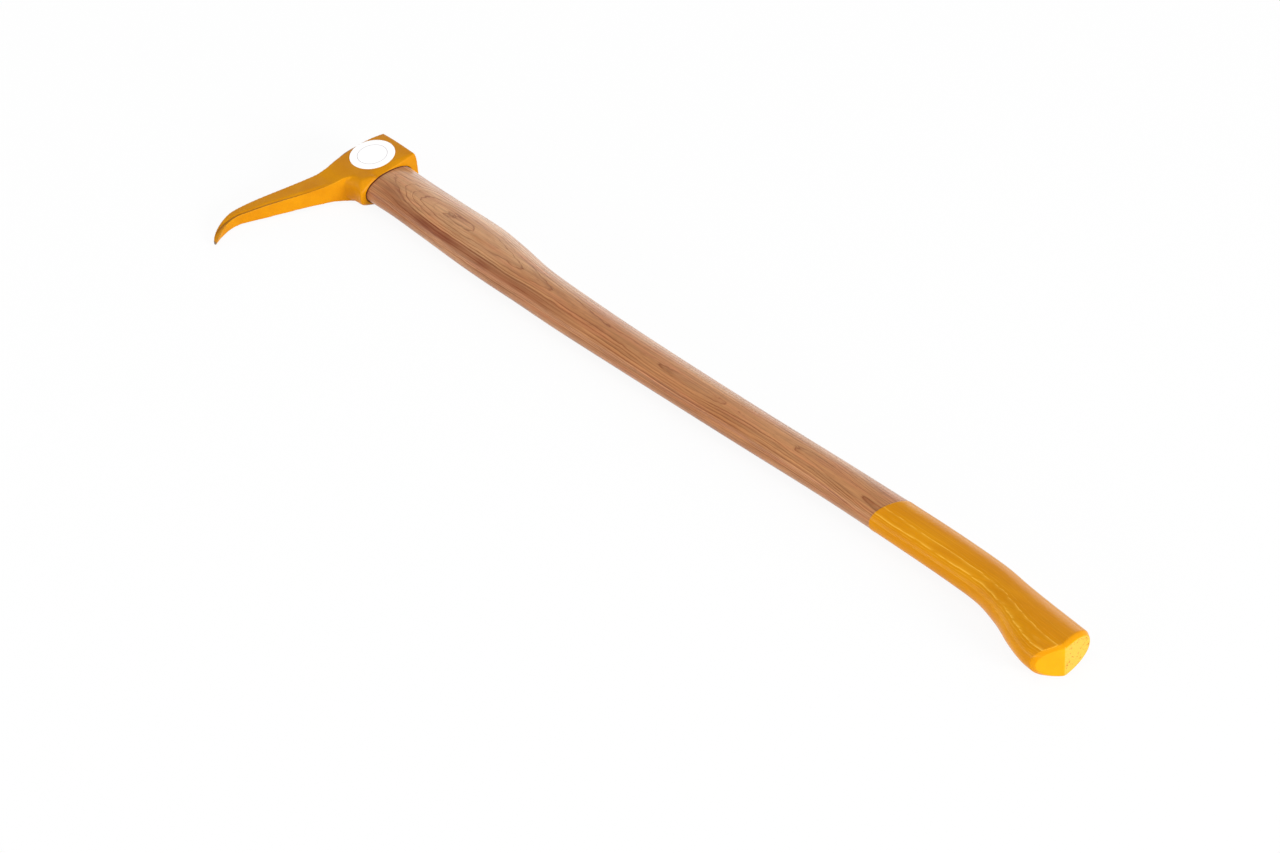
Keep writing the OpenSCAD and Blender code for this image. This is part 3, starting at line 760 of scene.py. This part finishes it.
def dip_lacquer():
    """Glossy yellow lacquer, pale where little of it covers the raised grain, and soaked into the end of the
    stick.
    """
    material, tree, shader = new_material("dip_lacquer")
    stick = in_stick(tree)
    thick = mottle(tree, stick, (0.02, 0.09, 0.09), 2.0, 0.5, 13.0)
    coat = ramp(tree, thick, (0.35, colour(202, 129, 1)), (0.65, colour(209, 138, 3)))
    fibre = mottle(tree, stick, (0.03, 1.3, 1.3), 3.0, 0.6, 11.0)
    coat = lay_over(tree, "MULTIPLY", 1.0, coat, ramp(tree, fibre, (0.3, 0.93), (0.7, 1.05)))
    # lines show on the long skin, and the two facets of the butt are sanded end grain
    line_there, count = growth(tree, stick, facing_up(tree))
    broken = ramp(tree, mottle(tree, stick, (0.09, 0.9, 0.9), 2.0), (0.36, 0.15), (0.5, 1.0))
    ahead = parts(tree, node(tree, "ShaderNodeNewGeometry").outputs["True Normal"])[0]
    sawn = ramp(tree, ahead, (0.3, 0.0), (0.6, 0.6), (0.78, 1.0))
    long_skin = maths(tree, "SUBTRACT", 1.0, sawn)
    lines = product(tree, line_there, standing_rings(tree, count), broken, long_skin)
    coat = lay_over(tree, "MIX", lines, coat, colour(246, 194, 74))
    coat = lay_over(tree, "MIX", maths(tree, "MULTIPLY", sawn, 0.5), coat, colour(226, 160, 18))
    square_end = ramp(tree, ahead, (0.95, 0.0), (0.98, 1.0))
    grain = mottle(tree, stick, (0.5, 0.5, 1.6), 3.0, 0.6, 41.0)
    soaked = maths(tree, "MULTIPLY", square_end, ramp(tree, grain, (0.4, 0.35), (0.65, 0.8)))
    coat = lay_over(tree, "MIX", soaked, coat, colour(222, 170, 72))
    pits = ramp(tree, mottle(tree, stick, (0.3, 0.42, 0.55), 2.0, 0.5, 47.0), (0.62, 0.0), (0.65, 0.85))
    pits = maths(tree, "MULTIPLY", pits, square_end)
    coat = lay_over(tree, "MIX", pits, coat, colour(120, 78, 20))
    gloss = ramp(tree, thick, (0.3, 0.22), (0.7, 0.16))
    skin = mottle(tree, stick, (0.05, 0.25, 0.25), 2.0, 0.5, 51.0)
    height = maths(tree, "MULTIPLY_ADD", fibre, 0.35, maths(tree, "ADD", skin, lines))
    height = maths(tree, "SUBTRACT", height, pits)
    fill(tree, shader, {
        "Base Color": coat,
        "Roughness": maths(tree, "ADD", gloss, maths(tree, "MULTIPLY", square_end, 0.2)),
        "Specular IOR Level": 0.08,
        "Sheen Weight": 0.12,
        "Sheen Roughness": 0.3,
        "Normal": bump(tree, height, 0.1, 0.0002),
    })
    return material


# up the wood from the butt to the dip line, over the coat's edge, and back down outside
coat_rings = [ring(BUTT, RIM_INSET, 0, share) for share in (0.01, 0.5)]
coat_rings += [ring(x, inset_at(x)) for x in reversed(evenly(BUTT - KNOB_CLOSE, BUTT - 1.0, 6))]
coat_rings += [ring(x) for x in reversed(evenly(DIP_LINE, BUTT - KNOB_CLOSE, 24)[:-1])]
coat_rings += [ring(DIP_LINE, grow=0.2), ring(DIP_LINE + 0.25, grow=0.32)]
coat_rings += [
    ring(x, grow=COAT, relief=min(1, i / 4))
    for i, x in enumerate(evenly(DIP_LINE + 1.0, bevel_from, COAT_STEPS))
]
coat_rings += butt_rings(COAT, 1.0)
lacquer = dip_lacquer()
coat = skinned("dipped_grip", coat_rings, lacquer, points_round=COAT_POINTS, grain_height=COAT_RELIEF)
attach(coat, "root")
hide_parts("grip_coat")

# HEAD
# The pick head is one steel forging: a house with an oval eye, drawn out to a long
# beak with a hooked tip. Its arrises are dressed round, and it is painted orange yellow.

FORGE_VOXEL = 0.00055
# the eye: places down it, half its width and half its thickness there, and the ends of its unpainted, shaded
# stretch
EYE_AT = (-HOUSE_ABOVE, EYE_WAIST, HOUSE_BELOW)
EYE_HALF_WIDTH = (26.0, 25.2, 26.0)
EYE_HALF_THICK = (14.1, 12.8, 13.2)
BORE_FROM, BORE_TO = -21.5, 27.6
# the lower arris of the beak, from the neck to the hook: distance down, and y
ARRIS = [
    (5.3, -33.4),
    (1.4, -46.3),
    (-5.3, -64.9),
    (-12.9, -83.5),
    (-19.6, -100.9),
    (-24.7, -116.5),
    (-27.6, -125),
    (-28.3, -132.5),
    (-27.4, -141),
    (-24.4, -150),
    (-19.5, -159),
]
# the hollow on the flanks above that arris, and the fall of the cheeks clear of the label
HOLLOW_DEPTH, HOLLOW_ABOVE, HOLLOW_WIDE = 0.8, 2.3, 1.3
FALL_DEPTH, FALL_WIDE, FALL_CLEAR = 1.3, 11, 21.5
# how strongly each dressing pass smooths, and how far in metres a place stands out to be fully worn and
# highlighted
DRESS = 0.6
STANDS_OUT_FULL = 0.00022
TIP_BARE = -159.0


def head_enamel():
    """Orange yellow enamel on forged steel, rubbed off the tip, with a painted highlight on the arrises and
    painted shade in the eye and in the hollow beside the lower arris.
    """
    material, tree, shader = new_material("head_enamel")
    stick = in_stick(tree)
    y = parts(tree, stick)[1]
    wear_and_highlight, bore_shade, hollow_shade = (
        node(tree, "ShaderNodeAttribute", attribute_name=name).outputs["Fac"]
        for name in ("wear_and_highlight", "bore_shade", "hollow_shade")
    )
    cloud = mottle(tree, stick, (0.05, 0.05, 0.05), 3.0, 0.55, 2.0)
    paint = ramp(tree, cloud, (0.35, colour(192, 122, 2)), (0.65, colour(200, 132, 4)))
    speckle = mottle(tree, stick, (1.5, 1.5, 1.5), 3.0, 0.6, 6.0)
    paint = lay_over(tree, "MULTIPLY", 1.0, paint, ramp(tree, speckle, (0.3, 0.92), (0.7, 1.05)))
    # painted highlight: arrises and other proud places are mixed toward a paler orange
    arris_highlight = ramp(tree, maths(tree, "MULTIPLY_ADD", speckle, 0.4, wear_and_highlight), (0.62, 0.0), (1.0, 0.35))
    paint = lay_over(tree, "MIX", arris_highlight, paint, colour(236, 166, 36))
    # painted shade darkens the hollow beside the lower arris
    paint = lay_over(tree, "MIX", maths(tree, "MULTIPLY", hollow_shade, 0.7), paint, colour(120, 66, 2))
    # the hook's tip and its back have struck wood and lost their paint
    tip = maths(tree, "DIVIDE", maths(tree, "SUBTRACT", TIP_BARE, y), 6.0)
    tip = maths(tree, "ADD", tip, maths(tree, "MULTIPLY", wear_and_highlight, 0.35))
    hook = ramp(tree, maths(tree, "DIVIDE", y, -170.0), (0.7, 0.0), (0.86, 0.75))
    gone = maths(tree, "MAXIMUM", tip, maths(tree, "MULTIPLY", hook, wear_and_highlight))
    gone = maths(tree, "ADD", gone, maths(tree, "MULTIPLY_ADD", speckle, 0.9, -0.45))
    bare = ramp(tree, gone, (0.5, 0.0), (0.62, 1.0))
    scale = mottle(tree, stick, (0.9, 0.9, 0.9), 2.0, 0.5, 8.0)
    steel = ramp(tree, scale, (0.35, colour(92, 76, 58)), (0.65, colour(132, 116, 96)))
    finish = lay_over(tree, "MIX", bare, paint, steel)
    # painted shade: the bore of the eye is coloured dark red brown, so the seam round the handle reads dark
    finish = lay_over(tree, "MIX", maths(tree, "MULTIPLY", bore_shade, 0.94), finish, colour(96, 34, 2))
    dull = ramp(tree, cloud, (0.3, 0.42), (0.7, 0.32))
    dull = maths(tree, "MULTIPLY_ADD", speckle, 0.1, dull)
    dents = mottle(tree, stick, (0.16, 0.16, 0.16), 3.0, 0.55, 21.0)
    peel = mottle(tree, stick, (0.8, 0.8, 0.8), 2.0, 0.5, 27.0)
    height = maths(tree, "MULTIPLY_ADD", bare, -0.25, maths(tree, "MULTIPLY_ADD", peel, 0.25, dents))
    fill(tree, shader, {
        "Base Color": finish,
        "Metallic": maths(tree, "MULTIPLY", bare, 0.85),
        "Roughness": maths(tree, "MAXIMUM", dull, bore_shade),
        "Specular IOR Level": 0.08,
        "Normal": bump(tree, height, 0.35, 0.0005),
    })
    return material


def merged_copy(name, cad_name):
    """A copy of a CAD piece with its loose triangles joined."""
    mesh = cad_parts[cad_name].data.copy()
    mesh.materials.clear()
    work = bmesh.new()
    work.from_mesh(mesh)
    bmesh.ops.remove_doubles(work, verts=work.verts, dist=1e-6)
    work.to_mesh(mesh)
    work.free()
    return in_scene(name, mesh)


def vertex_rows(mesh, kind):
    """The places or the normals of a mesh's vertices, as rows of x, y and z."""
    flat = np.empty(len(mesh.vertices) * 3)
    mesh.vertices.foreach_get(kind, flat)
    return flat.reshape(-1, 3)


def carried_by(matrix, rows):
    """Rows of x, y and z carried from one frame to another."""
    return rows @ np.array(matrix.to_3x3()).T + np.array(matrix.translation)


def out_of_eye(places):
    """How far out of the eye each place lies: 1 on its wall and less inside it."""
    half_width = np.interp(places[:, 0], EYE_AT, EYE_HALF_WIDTH)
    half_thick = np.interp(places[:, 0], EYE_AT, EYE_HALF_THICK)
    return np.abs(places[:, 1] / half_width) ** SQUARENESS + np.abs(places[:, 2] / half_thick) ** SQUARENESS


def above_arris(places):
    """How far each place lies above the lower arris of the beak."""
    down, y = np.array(ARRIS[::-1]).T
    return np.interp(places[:, 1], y, down) - places[:, 0]


def smooth_where(piece, name, times, weights=None):
    """Rounds a piece off by a number of passes, all over or by the weights of its vertices."""
    dress = piece.modifiers.new(name, "SMOOTH")
    dress.factor = DRESS
    dress.iterations = times
    if weights is not None:
        group = piece.vertex_groups.new(name=name)
        for index in np.flatnonzero(weights > 0):
            group.add((int(index),), float(weights[index]), "REPLACE")
        dress.vertex_group = name


def point_values(mesh, name, values):
    """Values stored on a mesh's vertices, for its material to read."""
    mesh.attributes.new(name, "FLOAT", "POINT").data.foreach_set("value", values.astype(np.float32))


blank = merged_copy("head_blank", "pick_head")
forge = blank.modifiers.new("forge", "REMESH")
forge.mode = "VOXEL"
forge.voxel_size = FORGE_VOXEL
dressed = plain_piece("dressed_blank", blank)
places = carried_by(LAID.inverted(), vertex_rows(dressed.data, "co"))
down, y, z = places.T
# the house is dressed rounder than the beak, and the hook's tip is left sharp
soft = np.interp(-y, [20, 30, 45, 120, 150, 160], [1.0, 0.5, 0.45, 0.4, 0.15, 0.05])
# the lip of the rim is ground rounder still, outside the eye
lip = np.interp(down, [14, 22], [0, 1]) * np.interp(y, [-14, -4], [1, 0])
lip = lip * np.interp(out_of_eye(places), [1.12, 1.3], [0, 1])
# the hammer has left each flank of the beak a little hollow beside its lower arris
hollow = np.exp(-(((above_arris(places) - HOLLOW_ABOVE) / HOLLOW_WIDE) ** 2))
hollow *= np.interp(y, [-156, -140, -60, -42], [0, 1, 1, 0])
hollow *= np.clip((np.abs(z) - 2.0) / 1.5, 0, 1) * HOLLOW_DEPTH
# both cheeks fall away a little round the poll, clear of the label
clear = np.maximum(np.hypot(down, y - LABEL_Y) - FALL_CLEAR, 0)
fall = FALL_DEPTH * (1 - np.exp(-((clear / FALL_WIDE) ** 2))) * np.interp(y, [0, 12], [0, 1])
hollow += fall * np.clip((np.abs(z) - 6) / 9, 0, 1)
places[:, 2] -= np.sign(z) * hollow
dressed.data.vertices.foreach_set("co", carried_by(LAID, places).astype(np.float32).ravel())
smooth_where(dressed, "soft", 14, soft)
smooth_where(dressed, "ground", 50, lip)
head = plain_piece("forged_head", dressed)
head.vertex_groups.clear()

# where the skin stands out from its own average, the paint is worn, and it is given a painted highlight
relaxed = in_scene("relaxed_blank", head.data.copy())
smooth_where(relaxed, "relax", 10)
relaxed = plain_piece("relaxed", relaxed)
normals = vertex_rows(head.data, "normal")
stands_out = ((vertex_rows(head.data, "co") - vertex_rows(relaxed.data, "co")) * normals).sum(1)
bpy.data.objects.remove(relaxed)
point_values(head.data, "wear_and_highlight", np.clip(stands_out / STANDS_OUT_FULL, 0, 1))
# the eye is left unpainted, and its bore is coloured dark as painted shade for the seam round the handle
places = carried_by(LAID.inverted(), vertex_rows(head.data, "co"))
down, y = places.T[:2]
inside = (out_of_eye(places) < 1.13) & (down > BORE_FROM) & (down < BORE_TO)
point_values(head.data, "bore_shade", inside.astype(float))
# painted shade in the hollow beside the arris, on the flanks only
wide = np.interp(y, [-150, -120, -60], [1.5, 0.9, 0.7])
shaded_hollow = np.exp(-(((above_arris(places) - 0.6 - wide) / wide) ** 2)) * (np.abs(normals[:, 2]) > 0.5)
point_values(head.data, "hollow_shade", shaded_hollow * np.interp(y, [-159, -152, -52, -44], [0, 1, 1, 0]))
head.data.materials.append(head_enamel())
smooth_to_edges(head, 75)
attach(head, "root")
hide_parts("pick_head")

# WEDGES
# A beech wedge fills the saw kerf in the end of the handle, and two steel wedges are
# driven across it. Their heads are left a little proud, sawn and hammered.

BEECH_EDGE = 0.0003
STEEL_EDGE = 0.00035


def end_grain_beech():
    """Beech sawn across the grain: flecks, faint rings and a little dirt."""
    material, tree, shader = new_material("end_grain_beech")
    stick = in_stick(tree)
    rings = mottle(tree, stick, (0.05, 0.12, 0.9), 3.0, 0.6, 3.0)
    wood = ramp(
        tree, rings, (0.3, colour(150, 104, 70)), (0.5, colour(178, 130, 92)), (0.7, colour(192, 146, 106))
    )
    flecks = ramp(tree, mottle(tree, stick, (0.4, 3.0, 3.0), 1.0, 0.5, 12.0), (0.6, 0.0), (0.7, 0.5))
    fill(tree, shader, {
        "Base Color": lay_over(tree, "MIX", flecks, wood, colour(112, 72, 44)),
        "Roughness": ramp(tree, rings, (0.3, 0.75), (0.7, 0.6)),
        "Normal": bump(tree, maths(tree, "SUBTRACT", rings, flecks), 0.6, 0.0002),
    })
    return material


def hammered_steel():
    """Mild steel, sheared on its edges and marked by the hammer, with a trace of rust."""
    material, tree, shader = new_material("hammered_steel")
    stick = in_stick(tree)
    dents = mottle(tree, stick, (0.35, 0.35, 0.35), 2.0, 0.5, 5.0)
    scratches = mottle(tree, stick, (0.3, 4.0, 0.6), 3.0, 0.6, 9.0)
    steel = ramp(tree, scratches, (0.3, colour(122, 122, 124)), (0.7, colour(168, 168, 170)))
    rust = ramp(tree, mottle(tree, stick, (0.7, 0.7, 0.7), 4.0, 0.6, 15.0), (0.55, 0.0), (0.7, 0.7))
    fill(tree, shader, {
        "Base Color": lay_over(tree, "MIX", rust, steel, colour(124, 78, 50)),
        "Metallic": maths(tree, "MULTIPLY_ADD", rust, -0.8, 1.0),
        "Roughness": maths(tree, "MULTIPLY_ADD", rust, 0.3, 0.38),
        "Normal": bump(tree, maths(tree, "MULTIPLY_ADD", scratches, 0.3, dents), 0.5, 0.0004),
    })
    return material


def dressed_wedge(name, cad_name, edge, material):
    """A wedge with its arrises broken, from its CAD solid."""
    made = merged_copy(name + "_blank", cad_name)
    arris = made.modifiers.new("arris", "BEVEL")
    arris.width = edge
    arris.segments = 3
    arris.limit_method = "ANGLE"
    arris.angle_limit = math.radians(40)
    piece = plain_piece(name, made)
    piece.data.materials.append(material)
    smooth_to_edges(piece, 35)
    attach(piece, "root")
    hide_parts(cad_name)
    return piece


kerf_wedge = dressed_wedge("kerf_wedge", "wood_wedge", BEECH_EDGE, end_grain_beech())
steel = hammered_steel()
for name, cad_name in (("cross_wedge_poll", "steel_wedge_poll"), ("cross_wedge_beak", "steel_wedge_beak")):
    dressed_wedge(name, cad_name, STEEL_EDGE, steel)

# LABEL
# A round label of white coated paper is stuck on one cheek. It is left plain, with one
# thin printed ring, and its edge is cut round by a die.

LABEL_RADIUS = 20.8
LABEL_THICK = 0.25
LABEL_POINTS = 144
# half a section of the label: over its face to the rim, round the cut edge, and back under it
LABEL_PROFILE = [(radius, LABEL_THICK) for radius in (4.0, 8.0, 12.0, 16.0, 19.0, 20.5)]
LABEL_PROFILE += [(20.68, LABEL_THICK - 0.03), (LABEL_RADIUS, LABEL_THICK - 0.12), (LABEL_RADIUS, 0.02)]
LABEL_PROFILE += [(radius, 0.0) for radius in (20.5, 12.0, 4.0)]


def coated_paper():
    """White coated paper with faint fibres and one fine grey ring."""
    material, tree, shader = new_material("coated_paper")
    stick = in_stick(tree)
    middle = (0, LABEL_Y, CHEEK_THERE)
    away = node(tree, "ShaderNodeVectorMath", {0: stick, 1: middle}, operation="SUBTRACT").outputs[0]
    reach = node(tree, "ShaderNodeVectorMath", {0: away}, operation="LENGTH").outputs["Value"]
    fibres = mottle(tree, stick, (0.9, 0.9, 0.9), 4.0, 0.65, 4.0)
    paper = ramp(tree, fibres, (0.3, colour(253, 253, 252)), (0.7, colour(255, 255, 255)))
    out = maths(tree, "DIVIDE", reach, 20.0)
    printed = ramp(tree, out, (0.67, 0.0), (0.678, 0.8), (0.69, 0.8), (0.698, 0.0))
    paper = lay_over(tree, "MIX", printed, paper, colour(128, 108, 118))
    edge_tone = ramp(tree, maths(tree, "DIVIDE", reach, 25.0), (0.815, 0.0), (0.832, 0.3))
    fill(tree, shader, {
        "Base Color": lay_over(tree, "MIX", edge_tone, paper, colour(206, 200, 186)),
        "Roughness": ramp(tree, fibres, (0.3, 0.5), (0.7, 0.42)),
        "Specular IOR Level": 0.4,
        "Normal": bump(tree, fibres, 0.15, 0.0001),
    })
    return material


work = bmesh.new()
turns = evenly(0, 2 * math.pi, LABEL_POINTS)[:-1]
loops = [
    [work.verts.new((radius * math.cos(turn), radius * math.sin(turn), height)) for turn in turns]
    for radius, height in LABEL_PROFILE
]
for upper, lower in zip(loops, loops[1:]):
    for i in range(LABEL_POINTS):
        j = (i + 1) % LABEL_POINTS
        work.faces.new((upper[i], lower[i], lower[j], upper[j]))
work.faces.new(loops[0])
work.faces.new(reversed(loops[-1]))
label_mesh = bpy.data.meshes.new("cheek_label")
work.to_mesh(label_mesh)
work.free()
on_cheek = Matrix.Translation((0, LABEL_Y, CHEEK_THERE)) @ Matrix.Rotation(CHEEK_TAPER, 4, "X")
label_mesh.transform(LAID @ on_cheek)
label = in_scene("cheek_label", label_mesh)
label_mesh.materials.append(coated_paper())
smooth_to_edges(label, 50)
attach(label, "root")
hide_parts("head_label")
